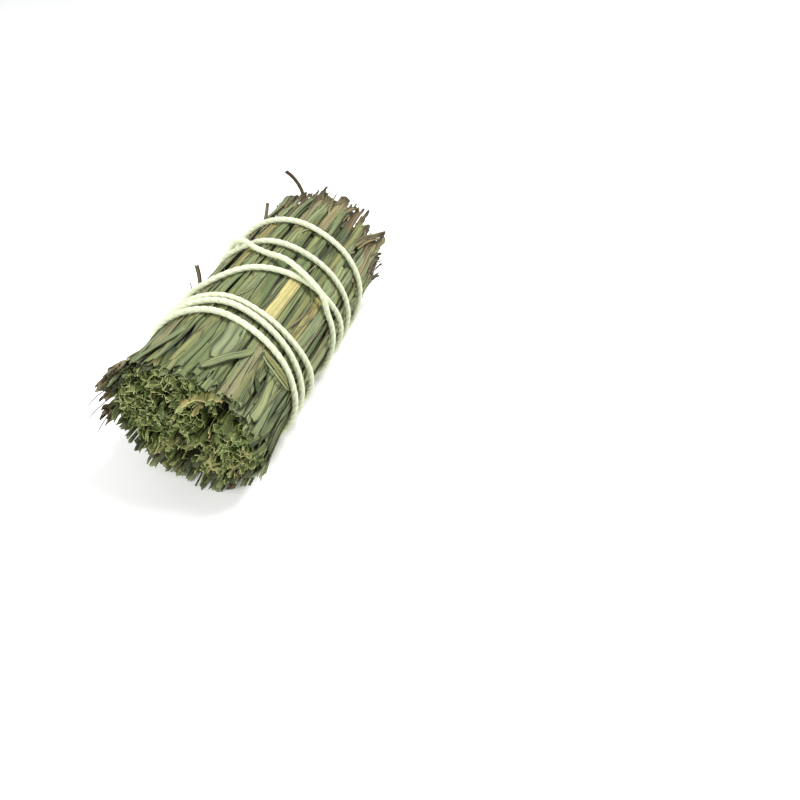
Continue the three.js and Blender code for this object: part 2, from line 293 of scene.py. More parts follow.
def driedLeaf(name, tints, blotchColour, tipColour, cutColour, blotchShare):
    material, tree, shader = newMaterial(name)
    across, along, tint, dry, depth, cut = (
        addNode(tree, "ShaderNodeAttribute", {}, "Fac", attribute_name=layer) for layer in leafLayerNames
    )
    spread = addNode(tree, "ShaderNodeCombineXYZ", {0: across, 1: along, 2: tint})
    veinSpace = addNode(
        tree, "ShaderNodeVectorMath", {0: spread, 1: leafLook["patternScale"]}, operation="MULTIPLY"
    )
    streaks = addNode(
        tree, "ShaderNodeTexNoise",
        {"Vector": veinSpace, "Scale": 0.5 / leafLook["streakWidth"], "Detail": 4.0, "Roughness": 0.75},
    )
    waveScale = pi / (10 * leafLook["veinSpacing"])  # at a scale of 1 a wave repeats every pi / 10
    ribs = addNode(
        tree, "ShaderNodeTexWave",
        {"Vector": veinSpace, "Scale": waveScale, "Distortion": 1.2, "Detail": 1.0, "Detail Scale": 0.6},
        "Fac", bands_direction="X",
    )
    cracks = addNode(
        tree, "ShaderNodeTexNoise",
        {"Vector": veinSpace, "Scale": 0.5 / leafLook["crackSpacing"], "Detail": 1.0, "Distortion": 0.4},
    )
    objectSpace = addNode(tree, "ShaderNodeTexCoord", {}, "Object")
    stretched = addNode(tree, "ShaderNodeMapping", {"Vector": objectSpace, "Scale": (1.0, 0.35, 1.0)})
    blotches = addNode(
        tree, "ShaderNodeTexNoise",
        {"Vector": stretched, "Scale": 1 / (leafLook["blotchSize"] * mm), "Detail": 3.0, "Roughness": 0.6},
    )
    streakShare = leafLook["blotchStreaks"]
    streaky = addNode(
        tree, "ShaderNodeMath", {0: streaks, 1: streakShare, 2: blotches}, operation="MULTIPLY_ADD"
    )
    unevenDry = addNode(tree, "ShaderNodeMath", {0: streaks, 1: dry}, operation="ADD")
    fromCrack = addNode(tree, "ShaderNodeMath", {0: cracks, 1: 0.5}, operation="SUBTRACT")
    fromCrack = addNode(tree, "ShaderNodeMath", {0: fromCrack}, operation="ABSOLUTE")
    blotched, withered, roughness, *tones = (
        addNode(
            tree, "ShaderNodeMapRange",
            {"Value": value, "From Min": low, "From Max": high, "To Min": first, "To Max": last},
        )
        for value, (low, high), (first, last) in (
            (streaky, leafLook["blotchFrom"], (0.0, blotchShare)),
            (unevenDry, leafLook["dryFrom"], (0.0, 1.0)),
            (streaks, (0.0, 1.0), leafLook["roughness"]),
            (streaks, (0.3, 0.7), leafLook["streakTone"]),
            (ribs, (0.0, 1.0), leafLook["veinTone"]),
            (depth, (0.0, 1.0), leafLook["paintedShadeTone"]),
            (fromCrack, (0.0, 0.04), leafLook["crackShadeTone"]),
        )
    )

    # The leaf's own tint, yellowed in streaky blotches, withered at its tip and pale at its cut edge. It is
    # darker between the streaks and veins, and painted shade darkens it in the cracks and where other leaves
    # cover it.
    colour = addNode(tree, "ShaderNodeValToRGB", {"Fac": tint}, stops=tints)
    for share, over in ((blotched, blotchColour), (withered, tipColour), (cut, cutColour)):
        colour = addNode(
            tree, "ShaderNodeMix", {"Factor": share, 6: colour, 7: linear(over)}, 2, data_type="RGBA"
        )
    for tone in tones:
        colour = addNode(tree, "ShaderNodeVectorMath", {0: colour, "Scale": tone}, operation="SCALE")
    tree.links.new(colour, shader.inputs["Base Color"])

    height = addNode(tree, "ShaderNodeMath", {0: ribs, 1: streaks}, operation="ADD")
    bump = addNode(
        tree, "ShaderNodeBump",
        {"Height": height, "Strength": leafLook["bump"], "Distance": leafLook["veinDepth"] * mm},
    )
    tree.links.new(bump, shader.inputs["Normal"])
    tree.links.new(roughness, shader.inputs["Roughness"])
    shader.inputs["Specular IOR Level"].default_value = leafLook["specular"]
    return material


# Air-dried leaves: a grey-green with an olive cast, some of them turned olive-brown.
greenTints = [
    (0.0, "#465030"), (0.18, "#59653d"), (0.38, "#6a764c"), (0.58, "#7a865a"),
    (0.78, "#8b956b"), (0.88, "#7a7c4a"), (1.0, "#8a8454"),
]
greenLeaf = driedLeaf("driedGreenLeaf", greenTints, "#8f9156", "#6c5b3b", "#9aa060", 0.55)
# Leaves that yellowed before they were cut: straw-coloured, the brightest on the bundle.
strawTints = [(0.0, "#7f7b46"), (0.5, "#a39a5d"), (1.0, "#c8bd7c")]
strawLeaf = driedLeaf("yellowedLeaf", strawTints, "#7f7f4c", "#7d6240", "#c8bc7c", 0.8)
# Leaves that faded in the sun: a greyish tan.
tanTints = [(0.0, "#7a7850"), (0.5, "#8a8560"), (1.0, "#9c9570")]
tanLeaf = driedLeaf("tanLeaf", tanTints, "#6f7048", "#59482d", "#a59a72", 0.6)
# Withered leaves and tips: brown, nearly black where they are thinnest.
brownTints = [(0.0, "#463b22"), (0.5, "#665a3b"), (1.0, "#8b8259")]
brownLeaf = driedLeaf("witheredLeaf", brownTints, "#757044", "#46381c", "#7c6c4c", 0.6)
# Inside the bundle the leaves have kept a deeper green, with straw-coloured cut edges.
innerTints = [(0.0, "#465629"), (0.3, "#607139"), (0.6, "#7e8e50"), (0.85, "#9ba869"), (1.0, "#a9aa6d")]
innerLeaf = driedLeaf("innerLeaf", innerTints, "#8a8a4b", "#6d613c", "#c6c688", 0.4)
leafOf = {"straw": strawLeaf, "tan": tanLeaf, "brown": brownLeaf, "stray": brownLeaf}

# Twisted cotton: matt, off-white with a green cast, fibres along each strand.
cottonLook = {
    "light": "#dfe4c6",
    "shade": "#a9b186",
    "fibreWidth": 0.22,  # mm
    "fibreDepth": 0.1,
    "patternScale": (1.0, 1.0, 0.35),
    "bump": 0.8,
    "roughness": 0.92,
    "sheen": 0.3,
    "specular": 0.2,
}
fibreLayerNames = ("fibreX", "fibreY", "alongMm")


def twistedCotton():
    material, tree, shader = newMaterial("twistedCotton")
    fibreX, fibreY, along = (
        addNode(tree, "ShaderNodeAttribute", {}, "Fac", attribute_name=layer) for layer in fibreLayerNames
    )
    unrolled = addNode(tree, "ShaderNodeCombineXYZ", {0: fibreX, 1: fibreY, 2: along})
    fibreSpace = addNode(
        tree, "ShaderNodeVectorMath", {0: unrolled, 1: cottonLook["patternScale"]}, operation="MULTIPLY"
    )
    fibres = addNode(
        tree, "ShaderNodeTexNoise",
        {"Vector": fibreSpace, "Scale": 0.6 / cottonLook["fibreWidth"], "Detail": 4.0, "Roughness": 0.7},
    )
    # The fibres run from the shade colour to the light colour: painted shade between them and painted light
    # on them, along with their own uneven tone.
    stops = [(0.3, cottonLook["shade"]), (0.6, cottonLook["light"])]
    colour = addNode(tree, "ShaderNodeValToRGB", {"Fac": fibres}, stops=stops)
    tree.links.new(colour, shader.inputs["Base Color"])
    bump = addNode(
        tree, "ShaderNodeBump",
        {"Height": fibres, "Strength": cottonLook["bump"], "Distance": cottonLook["fibreDepth"] * mm},
    )
    tree.links.new(bump, shader.inputs["Normal"])
    shader.inputs["Roughness"].default_value = cottonLook["roughness"]
    shader.inputs["Sheen Weight"].default_value = cottonLook["sheen"]
    shader.inputs["Specular IOR Level"].default_value = cottonLook["specular"]
    return material


cotton = twistedCotton()
print("materials made")

leafThickness = 0.26  # mm
fibreThickness = 0.16


def newMesh(layerNames=leafLayerNames):
    bm = bmesh.new()
    return bm, {name: bm.verts.layers.float.new(name) for name in layerNames}


def finishPiece(name, bm, material, thickness=leafThickness, nodes=("leaf_bunch",)):
    mesh = bpy.data.meshes.new(name)
    bm.to_mesh(mesh)
    bm.free()
    mesh.materials.append(material)
    mesh.shade_smooth()
    piece = addObject(name, mesh)
    if thickness:
        solidify = piece.modifiers.new("thickness", "SOLIDIFY")
        solidify.thickness = thickness * mm
        solidify.offset = 0
        solidify.use_even_offset = False
    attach(piece, "root")
    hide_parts(*nodes)


def setLayers(vert, layers, **values):
    for name, value in values.items():
        vert[layers[name]] = value


# One leaf along the outside. It lies on the bundle at a radius, folded along its midrib and rolled to one
# side, so that its edges overlap the next leaf. Its ends are ragged, and may be split or pointed.
leafShape = {
    "widthVaries": 0.12,
    "pointWidth": 0.06,
    "raggedOver": 7,  # mm
    "splits": (2, 9),
    "ribHeight": 0.05,
    "crinkle": 0.08,
    "bulge": 0.3,
    "witherOver": 14,
    "flareFrom": (108, 124),
}


def addLeaf(bm, layers, leaf):
    columns, rows = leaf["columns"], leaf["rows"]
    seed = leaf["seed"]
    spin = random.Random(seed)
    length = leaf["end"] - leaf["start"]
    made = bmesh.ops.create_grid(bm, x_segments=columns, y_segments=rows, size=0.5)
    slits = {}
    for column in range(columns):
        if spin.random() < leaf.get("splitShare", 0.25):
            slits[column] = (spin.uniform(*leafShape["splits"]) / length, spin.random() < 0.5)
    torn = []
    for face in {face for vert in made["verts"] for face in vert.link_faces}:
        centre = face.calc_center_median()
        slit = slits.get(int((centre.x + 0.5) * columns))
        if slit and (0.5 + centre.y < slit[0] if slit[1] else 0.5 - centre.y < slit[0]):
            torn.append(face)
    shares = {vert: (vert.co.x + 0.5, vert.co.y + 0.5) for vert in made["verts"]}
    bmesh.ops.delete(bm, geom=torn, context="FACES")
    for vert, (across, along) in shares.items():
        if not vert.is_valid:
            continue
        narrow = 1.0
        if leaf.get("pointed"):
            narrow = min(1.0, (1 - along) * length / leaf["pointed"] + leafShape["pointWidth"])
        varied = leafShape["widthVaries"] * ripple(along * length / 22, seed, 3)
        width = leaf["width"] * narrow * (1 + varied)
        side = (across - 0.5) * width
        toEnd = min(along, 1 - along) * length
        ragged = leaf["ragged"] * ripple(across * leaf["width"] * 0.9, seed, along)
        ragged *= 1 - smoothstep(toEnd, 0, leafShape["raggedOver"])
        run = lerp(leaf["start"], leaf["end"], along) + ragged
        roll = leaf["roll"] + 0.3 * ripple(run / 26, seed, 9)
        roll += leaf.get("twist", 0) * smoothstep(run, leaf["end"] - 12, leaf["end"])
        ridge = leaf["fold"] * (0.5 - abs(2 * across - 1)) * narrow
        curl = leaf["curl"] * (2 * across - 1) ** 2 * narrow
        ribs = leafShape["ribHeight"] * cos(2 * pi * across * leaf["ribs"])
        crinkle = leafShape["crinkle"] * ripple(run / 2.4, seed, across * 2)
        high = ridge + curl + ribs + crinkle
        sideways = side * cos(roll) - high * sin(roll)
        upwards = side * sin(roll) + high * cos(roll)
        wander = leaf["wander"] * ripple(run / 42, seed, 0)
        lean = leaf["lean"] * (run - leaf.get("leanFrom", 60))
        toLifted = run - leaf["start"] if leaf.get("liftEnd") == "front" else leaf["end"] - run
        bent = max(0.0, 1 - toLifted / leaf.get("liftOver", 12)) ** 1.5
        angle = leaf["angle"] - (sideways + wander + lean - leaf.get("sway", 0) * bent) / bundle["radius"]
        lifted = leaf.get("lift", 0) * bent + leaf.get("flare", 0) * smoothstep(run, *leafShape["flareFrom"])
        bulge = leafShape["bulge"] * ripple(run / 20, angle * 5, 1)
        held, swell = heldAt(angle, run)
        held *= leaf.get("heldShare", 0.85)
        level = lerp(leaf["rise"] + bulge + swell, press["level"] + 0.15 * leaf["rise"], held)
        radius = surfaceRadius(run) + level + upwards * (1 - 0.6 * held) + lifted
        vert.co = place(angle, radius, run)
        dry = max(leaf["dry"], smoothstep(run, leaf["dryFrom"], leaf["dryFrom"] + leafShape["witherOver"]))
        # Painted shade: the leaf is darkened along both edges, where it meets the next leaf, and as a whole
        # by its given depth.
        depth = max(leaf["depth"], abs(2 * across - 1) ** 12)
        setLayers(vert, layers, acrossMm=side + 10, alongMm=run, tint=leaf["tint"], dry=dry, depth=depth)


def randomLeaf(spin, **given):
    leaf = {
        "seed": spin.randrange(10000),
        "columns": 8,
        "width": spin.uniform(3.2, 5.6),
        "roll": spin.uniform(-0.2, 0.2),
        "fold": spin.choice((1, 1, -1)) * spin.uniform(0.1, 0.5),
        "curl": spin.uniform(-0.75, 0.05),
        "ribs": spin.choice((2, 3, 4)),
        "wander": spin.uniform(0.2, 0.9),
        "lean": tan(radians(spin.gauss(0, 1.6))),
        "ragged": spin.uniform(1.0, 3.0),
        "tint": min(1.0, max(0.0, spin.gauss(0.48, 0.28))),
        "dry": 0.0,
        "dryFrom": spin.uniform(104, 122),
        "depth": 0.0,
    }
    leaf.update(given)
    return leaf


# Two layers of leaves along the outside
# The under layer is darkened with painted shade (depth 0.85), as the outer leaves cover it.
underLeaves = {"count": 46, "seed": 11, "rise": -2.1}
spin = random.Random(underLeaves["seed"])
bm, layers = newMesh()
for i in range(underLeaves["count"]):
    addLeaf(bm, layers, randomLeaf(
        spin,
        angle=2 * pi * (i + spin.uniform(-0.3, 0.3)) / underLeaves["count"],
        width=spin.uniform(4.2, 6.0), columns=5, rows=26, depth=0.85, heldShare=0,
        rise=underLeaves["rise"] + spin.uniform(-0.3, 0.3),
        start=spin.uniform(1, 6), end=bundle["length"] + spin.uniform(-5, 3),
    ))
finishPiece("underLeaves", bm, greenLeaf)

outerLeaves = {"count": 66, "seed": 23, "shortShare": 0.4, "width": (2.2, 4.8)}
spin = random.Random(outerLeaves["seed"])
bm, layers = newMesh()
for i in range(outerLeaves["count"]):
    angle = 2 * pi * (i + spin.uniform(-0.35, 0.35)) / outerLeaves["count"]
    front = spin.uniform(0.5, 7)
    back = bundle["length"] + spin.uniform(-6, 4)
    stretches = [(front, back)]
    if spin.random() < outerLeaves["shortShare"]:
        cut = spin.uniform(30, 95)
        stretches = [(front, cut), (cut + spin.uniform(-14, 6), back)]
    for start, end in stretches:
        pointed = spin.uniform(9, 22) if end < back and spin.random() < 0.6 else 0
        addLeaf(bm, layers, randomLeaf(
            spin,
            angle=angle, start=start, end=end, pointed=pointed, rows=max(10, int((end - start) / 2.4)),
            width=spin.uniform(*outerLeaves["width"]), rise=spin.uniform(-1.0, 0.1),
            roll=spin.uniform(-0.38, 0.38), flare=spin.uniform(-1.2, 1.6),
            dryFrom=spin.uniform(109, 124) - 11 * max(0.0, cos(angle - 0.4)),
        ))
finishPiece("outerLeaves", bm, greenLeaf)

# Looser leaves in front of the first turn of twine, which lie across each other and spread at their ends
frontLeaves = {"count": 42, "seed": 31}
spin = random.Random(frontLeaves["seed"])
bm, layers = newMesh()
for i in range(frontLeaves["count"]):
    addLeaf(bm, layers, randomLeaf(
        spin,
        angle=2 * pi * (i + spin.uniform(-0.4, 0.4)) / frontLeaves["count"],
        width=spin.uniform(2.2, 5.6), rows=22, rise=spin.uniform(-1.7, 0.3),
        lean=tan(radians(spin.gauss(0, 8))), leanFrom=28,
        fold=spin.choice((1, -1)) * spin.uniform(0.3, 0.9), curl=spin.uniform(-0.5, 0.5),
        roll=spin.uniform(-0.3, 0.3), ragged=spin.uniform(2.0, 4.0),
        lift=spin.uniform(-1.8, 1.7), liftOver=spin.uniform(5, 14), liftEnd="front", splitShare=0.35,
        start=spin.uniform(-0.5, 6), end=spin.uniform(30, 40),
    ))
finishPiece("frontLeaves", bm, greenLeaf)
print("outer leaves laid")

# The leaves that are seen one by one, where the solid has them
singleLeaves = {"seed": 47, "width": {"straw": 4.2, "tan": 4.4, "brown": 4.0, "stray": 1.6}, "broad": 5.2}
spin = random.Random(singleLeaves["seed"])
broadLeaves = ("tan_leaf_1", "straw_leaf_1")
paleLeaves = ("straw_leaf_1", "brown_leaf_1", "brown_leaf_2", "brown_leaf_3", "brown_leaf_6")
strayLifts = {
    "brown_leaf_1": {"lift": 2.4, "liftOver": 14},
    "brown_leaf_2": {"lift": 2.2, "liftEnd": "front"},
    "brown_leaf_3": {"lift": 1.6, "liftEnd": "front"},
    "brown_leaf_6": {"lift": 0.8},
    "stray_leaf_1": {"slotAngle": 98.6, "lift": 9.4, "liftOver": 16, "sway": 10.4},
    "stray_leaf_2": {"slotAngle": 124.3, "lift": 4.8, "liftOver": 10},
    "stray_leaf_3": {"slotAngle": 141.4, "lift": 6.5, "liftOver": 9, "twist": -1.0},
}
for node in sorted(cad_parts):
    kind = node.split("_")[0]
    if kind not in leafOf:
        continue
    low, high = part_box(node)
    middle = (low + high) / 2 / mm
    start, end = low.y / mm - startY, high.y / mm - startY
    leafAngle = atan2(middle.z - bundle["axisHeight"], middle.x - axisX)
    if kind == "stray":
        leafAngle = radians(strayLifts[node]["slotAngle"])
    bm, layers = newMesh()
    addLeaf(bm, layers, randomLeaf(
        spin,
        angle=leafAngle, start=start, end=end, rows=max(14, int((end - start) / 2)),
        width=singleLeaves["broad"] if node in broadLeaves else singleLeaves["width"][kind],
        rise=0.1, lean=0.0, wander=0.4, roll=spin.uniform(-0.08, 0.08), ragged=0.8, splitShare=0.0,
        dry=0.55 if kind == "stray" else 0.0,
        tint=0.95 if node in paleLeaves else spin.uniform(0.1, 0.75),
        **strayLifts.get(node, {}),
    ))
    finishPiece(node.replace("_leaf_", "Leaf"), bm, leafOf[kind], leafThickness, [node])
print("single leaves laid")


# A narrow strip along marks of angle, rise and run, for the leaves and fibres that lie across the others.
# It may be twisted, and it narrows to a point at its ends.
def addStrip(bm, layers, strip):
    marks = strip["marks"]
    spans = len(marks) - 1
    rows = strip.get("rows", 6 * spans)
    seed = strip.get("seed", 0)
    made = bmesh.ops.create_grid(bm, x_segments=strip.get("columns", 2), y_segments=rows, size=0.5)
    for vert in made["verts"]:
        across, along = vert.co.x + 0.5, vert.co.y + 0.5
        k = min(spans - 1, int(along * spans))
        near = marksRound(marks, k)
        angle, rise, run = (smoothBetween(*values, along * spans - k) for values in zip(*near))
        start, end = near[1:3]
        heading = atan2(end[2] - start[2], -radians(end[0] - start[0]) * bundle["radius"])
        narrow = min(1.0, 4 * (1 - along) + strip.get("tip", 0.15), 4 * along + strip.get("root", 0.6))
        side = (across - 0.5) * strip["width"] * narrow
        twist = strip.get("twist", 0) * along
        fold = strip.get("fold", 0.15) * (0.5 - abs(2 * across - 1))
        crinkle = strip.get("crinkle", 0.1) * ripple(along * rows / 3, seed, across)
        flat = side * cos(twist) - fold * sin(twist)
        high = side * sin(twist) + fold * cos(twist) + crinkle
        turn = radians(angle) - flat * sin(heading) / bundle["radius"]
        torn = strip.get("torn", 0) * ripple(across * 3.1, seed, 7) * smoothstep(along, 0.7, 1)
        runHere = run - flat * cos(heading) + torn
        vert.co = place(turn, surfaceRadius(runHere) + rise + high, runHere)
        dry = strip.get("dry", 0) + strip.get("dryTip", 0) * smoothstep(along, 0.5, 1)
        # Painted shade along the edges of the wider strips.
        depth = 0.85 * abs(2 * across - 1) ** 6 if strip["width"] > 1.5 else 0
        setLayers(vert, layers, acrossMm=side + 10, alongMm=along * rows, tint=strip["tint"],
                  dry=dry, depth=depth)


# One crumpled leaf end that stands out of an end of the bundle. Its section is a bent line, and it leans
# and frays towards its cut edge.
def addLeafEnd(bm, layers, end):
    columns, rows = end["columns"], end["rows"]
    seed = end["seed"]
    outlines = []
    for bend in (end["bend"], end["bend"] * 1.35):
        x = z = 0.0
        line = []
        for j in range(columns + 1):
            line.append(Vector((x, z)))
            heading = end["heading"] + bend * sin(end["waves"] * tau * j / columns + end["phase"])
            step = end["width"] / columns
            x += step * cos(heading)
            z += step * sin(heading)
        centre = sum(line, Vector((0, 0))) / len(line)
        outlines.append([point - centre for point in line])
    made = bmesh.ops.create_grid(bm, x_segments=columns, y_segments=rows, size=0.5)
    for vert in made["verts"]:
        across, along = vert.co.x + 0.5, vert.co.y + 0.5
        out = 1 - (1 - along) ** 1.6  # rows lie closer together at the cut edge
        j = round(across * columns)
        section = outlines[0][j].lerp(outlines[1][j], out)
        ragged = end["ragged"] * ripple(across * end["width"] * 0.8, seed, 0) * out
        run = lerp(end["root"], end["end"], out) + ragged * end["side"]
        bent = end["lean"] * out**2
        crinkle = end["crinkle"] * out
        x, z = (
            end[axis] + section[k] + bent[k]
            + crinkle * ripple(section[k] / 1.8, run / 2.5, seed + 50 * k)
            for k, axis in enumerate("xz")
        )
        radius = min(hypot(x, z), surfaceRadius(run) + 0.3)
        vert.co = place(atan2(z, x), radius, run)
        # Painted shadow deep in the hollows of the trimmed face, and painted shade towards each end's root,
        # where the other ends cover it.
        shadow = 0.9 * smoothstep(run, 4, 11) if end["side"] < 0 else 0.0
        depth = max(end["depth"] * (1 - out), shadow)
        cutEdge = end["cutEdge"] if along > 0.99 else 0.0
        setLayers(vert, layers, acrossMm=across * end["width"] + 10, alongMm=run, tint=end["tint"],
                  dry=end["dry"], depth=depth, cutEdge=cutEdge)


# Leaf ends over the whole section. Side is -1 at the trimmed face, where they are smaller low down.
def leafEnds(bm, layers, ends, endRun, side):
    spin = random.Random(ends["seed"])
    goldenAngle = radians(137.508)
    aside = 0.8
    for i in range(ends["count"]):
        radius = ends["reach"] * sqrt((i + 0.5) / ends["count"])
        x = radius * cos(i * goldenAngle) + spin.uniform(-aside, aside)
        z = radius * sin(i * goldenAngle) + spin.uniform(-aside, aside)
        run = endRun(x, z, spin)
        if run > ends.get("deepest", bundle["longestRun"]):
            continue
        leanAngle = spin.uniform(0, tau)
        size = lerp(0.55, 1.1, smoothstep(z, -20, 3)) if side < 0 else 1.0
        leanLength = ends["lean"] * spin.random() ** 2 * size
        lowDown = 1 - smoothstep(z, -22, 0)
        addLeafEnd(bm, layers, {
            "columns": 7, "rows": 7, "seed": spin.randrange(10000), "x": x, "z": z,
            "heading": spin.uniform(0, tau), "bend": spin.uniform(*ends["bend"]),
            "waves": spin.uniform(0.35, 1.1), "phase": spin.uniform(0, tau),
            "width": spin.uniform(*ends["width"]) * size,
            "root": run - side * ends["length"], "end": run, "side": side,
            "lean": Vector((cos(leanAngle), sin(leanAngle))) * leanLength,
            "ragged": ends["ragged"], "crinkle": ends["crinkle"], "depth": ends["depth"],
            # Painted light: ends low down on the trimmed face are made lighter, as if lit from the front and
            # below.
            "tint": min(1.0, max(0.0, spin.gauss(*ends["tint"]) + ends["paintedLightLowDown"] * lowDown)),
            "dry": spin.uniform(*ends["dry"]), "cutEdge": spin.choice((0, 0.1, 0.45)),
        })


# The trimmed face: folded and crumpled leaf ends, with hollows where they are shorter
trimmedEnds = {
    "count": 270, "seed": 61, "reach": 25.2,
    "length": 8.0, "width": (3.4, 7.0), "bend": (0.3, 1.4), "lean": 4.2, "ragged": 2.2, "crinkle": 0.8,
    "tint": (0.5, 0.24), "dry": (0.0, 0.25), "depth": 0.7,
    "paintedLightLowDown": 0.55,  # painted light: how much lighter they are low down, as if lit from the front and below
}
# Larger ones that lean over the others
tornFlakes = {
    "count": 105, "seed": 62, "reach": 24.0, "deepest": 5.0,
    "length": 6.0, "width": (5.0, 9.5), "bend": (0.3, 1.3), "lean": 5.5, "ragged": 3.6, "crinkle": 1.8,
    "tint": (0.55, 0.28), "dry": (0.0, 0.3), "depth": 0.6,
    "paintedLightLowDown": 0.55,
}
trimmedFace = {"from": 3.0, "waves": 2.2, "uneven": 1.3, "shallowest": 0.2, "deepest": 13.0}
faceHollows = [  # across and up from the bundle's own line, how wide and how deep, in mm
    (17.8, 15.5, 4.2, 9.0),
    (19.5, 9.5, 3.4, 8.0),
    (9.5, 7.5, 3.6, 8.0),
    (7.0, -1.0, 2.8, 7.0),
    (-4.7, -19.0, 3.6, 7.0),
    (0.5, -11.5, 3.8, 7.5),
    (-4.8, 11.2, 3.0, 5.5),
    (-7.0, -7.5, 3.2, 6.0),
    (-16.0, -9.0, 3.0, 5.0),
]


def trimmedRun(x, z, spin):
    run = trimmedFace["from"] + trimmedFace["waves"] * ripple(x / 7, z / 7, 4)
    run += spin.uniform(-trimmedFace["uneven"], trimmedFace["uneven"])
    for middleX, middleZ, wide, deep in faceHollows:
        away = hypot(x - middleX, z - middleZ) / (1.3 * wide)
        run += deep * exp(-(away**4))
    return min(trimmedFace["deepest"], max(trimmedFace["shallowest"], run))


for name, ends in (("trimmedEnds", trimmedEnds), ("tornFlakes", tornFlakes)):
    bm, layers = newMesh()
    leafEnds(bm, layers, ends, trimmedRun, -1)
    finishPiece(name, bm, innerLeaf)

# A few straw-coloured ends among them
strawEnds = [  # across, up, heading in degrees, width
    (3.0, 14.5, 20, 5.5),
    (7.5, 16.8, 12, 8.0),
    (14.5, 19.5, 10, 5.0),
    (5.5, 11.0, 50, 3.6),
    (-9.0, 13.0, 95, 2.2),
    (21.0, -2.0, -20, 4.0),
    (9.0, 3.0, 60, 4.0),
]
bm, layers = newMesh()
for i, (x, z, heading, width) in enumerate(strawEnds):
    addLeafEnd(bm, layers, {
        "columns": 6, "rows": 7, "seed": 90 + i, "x": x, "z": z, "heading": radians(heading),
        "bend": 0.35, "waves": 0.6, "phase": i, "width": width, "root": 9.0, "end": 1.2, "side": -1,
        "lean": Vector((0.5, -1.5)), "ragged": 1.2, "crinkle": 0.7, "depth": 0.6,
        "tint": 0.9 - 0.1 * i, "dry": 0.0, "cutEdge": 0.6,
    })
finishPiece("strawEnds", bm, strawLeaf)

# The other end: withered tips of all lengths
raggedTips = {
    "count": 300, "seed": 67, "reach": 24.0,
    "length": 12.0, "width": (2.2, 5.0), "bend": (0.5, 2.2), "lean": 3.0, "ragged": 3.4, "crinkle": 0.7,
    "tint": (0.62, 0.28), "dry": (0.1, 0.85), "depth": 0.7,
    "paintedLightLowDown": 0.0,
    "shorter": 3.0,  # than the bundle, on the whole
    "waves": 3.0,
    "uneven": 3.5,
}


def tipRun(x, z, spin):
    run = bundle["length"] - raggedTips["shorter"] + raggedTips["waves"] * ripple(x / 8, z / 8, 2)
    return run + spin.uniform(-raggedTips["uneven"], raggedTips["uneven"])


bm, layers = newMesh()
leafEnds(bm, layers, raggedTips, tipRun, 1)
finishPiece("raggedTips", bm, tanLeaf)
print("leaf ends made")

# Withered tips round the rim of the back end, thin and curled outwards
rimCurls = {
    "count": 150,
    "seed": 73,
    "width": (0.5, 2.6),
    "from": (106, 114),
    "to": (117, 126),
    "curl": 2.8,
    "drift": 5,  # degrees
    "green": (92, 180),  # where the leaves stayed green, and few tips have curled
    "greenShare": 0.65,
}
spin = random.Random(rimCurls["seed"])
bm, layers = newMesh()
for i in range(rimCurls["count"]):
    angle = 360 * (i + spin.random()) / rimCurls["count"]
    if rimCurls["green"][0] < angle < rimCurls["green"][1] and spin.random() < rimCurls["greenShare"]:
        continue
    start, end = spin.uniform(*rimCurls["from"]), spin.uniform(*rimCurls["to"])
    curl = spin.uniform(-0.5, 1) * rimCurls["curl"]
    drift = spin.gauss(0, rimCurls["drift"])
    addStrip(bm, layers, {
        "marks": [
            (angle, -1.2, start),
            (angle + 0.3 * drift, -0.2 + 0.1 * curl, lerp(start, end, 0.4)),
            (angle + 0.6 * drift, 0.1 + 0.4 * curl, lerp(start, end, 0.75)),
            (angle + drift, curl, end + spin.uniform(-1, 1)),
        ],
        "width": spin.uniform(*rimCurls["width"]), "twist": spin.uniform(-1.5, 1.5), "crinkle": 0.7,
        "seed": i, "tip": spin.uniform(0.1, 0.7), "tint": spin.uniform(0.4, 1.0), "dryTip": 0.8,
    })
for i in range(6):  # a tuft of thin ones at the right
    spread = spin.uniform(-1, 1)
    addStrip(bm, layers, {
        "marks": [
            (32 + 6 * spread, 0.0, 104),
            (28 + 5 * spread, 0.8, 112),
            (22 + 4 * spread, 2.0 + 0.5 * spread, 119),
            (16 + 4 * spread, 3.0 + 1.2 * spread, spin.uniform(122, 127)),
        ],
        "width": spin.uniform(0.4, 0.8), "crinkle": 0.3, "seed": 190 + i,
        "tip": 1.0, "tint": spin.uniform(0.5, 1.0), "dryTip": 0.9,
    })
finishPiece("rimCurls", bm, brownLeaf)

# Leaves that lie across the others in front of the first turn of twine
crossedLeaves = [
    # a pale leaf whose blunt tip points to the front
    {"marks": [(69, -0.3, 36), (68, 0.5, 29), (65.5, 1.1, 21), (67, 0.8, 12)],
     "width": 6.6, "columns": 6, "tip": 0.4, "tint": 0.74, "fold": 0.5},
    # one that crosses below its tip
    {"marks": [(46, 0.0, 27), (54, 0.9, 19.8), (61, 1.4, 14.6), (70, 0.9, 6)],
     "width": 2.6, "columns": 4, "tip": 0.4, "tint": 0.6, "fold": 0.6},
    {"marks": [(100, 0.2, 25), (104, 0.6, 18), (112, 0.6, 9), (116, 0.3, 3)],
     "width": 3.4, "columns": 4, "tip": 0.5, "tint": 0.5, "fold": 0.4},
    {"marks": [(128, 0.1, 24), (124, 0.6, 16), (118, 0.7, 8), (117, 0.4, 3)],
     "width": 2.8, "columns": 4, "tip": 0.5, "tint": 0.62, "fold": 0.4},
    {"marks": [(30, 0.2, 24), (26, 0.6, 18), (24, 0.8, 9), (25, 0.5, 3)],
     "width": 4.0, "columns": 4, "tip": 0.6, "tint": 0.66, "fold": 0.5},
]
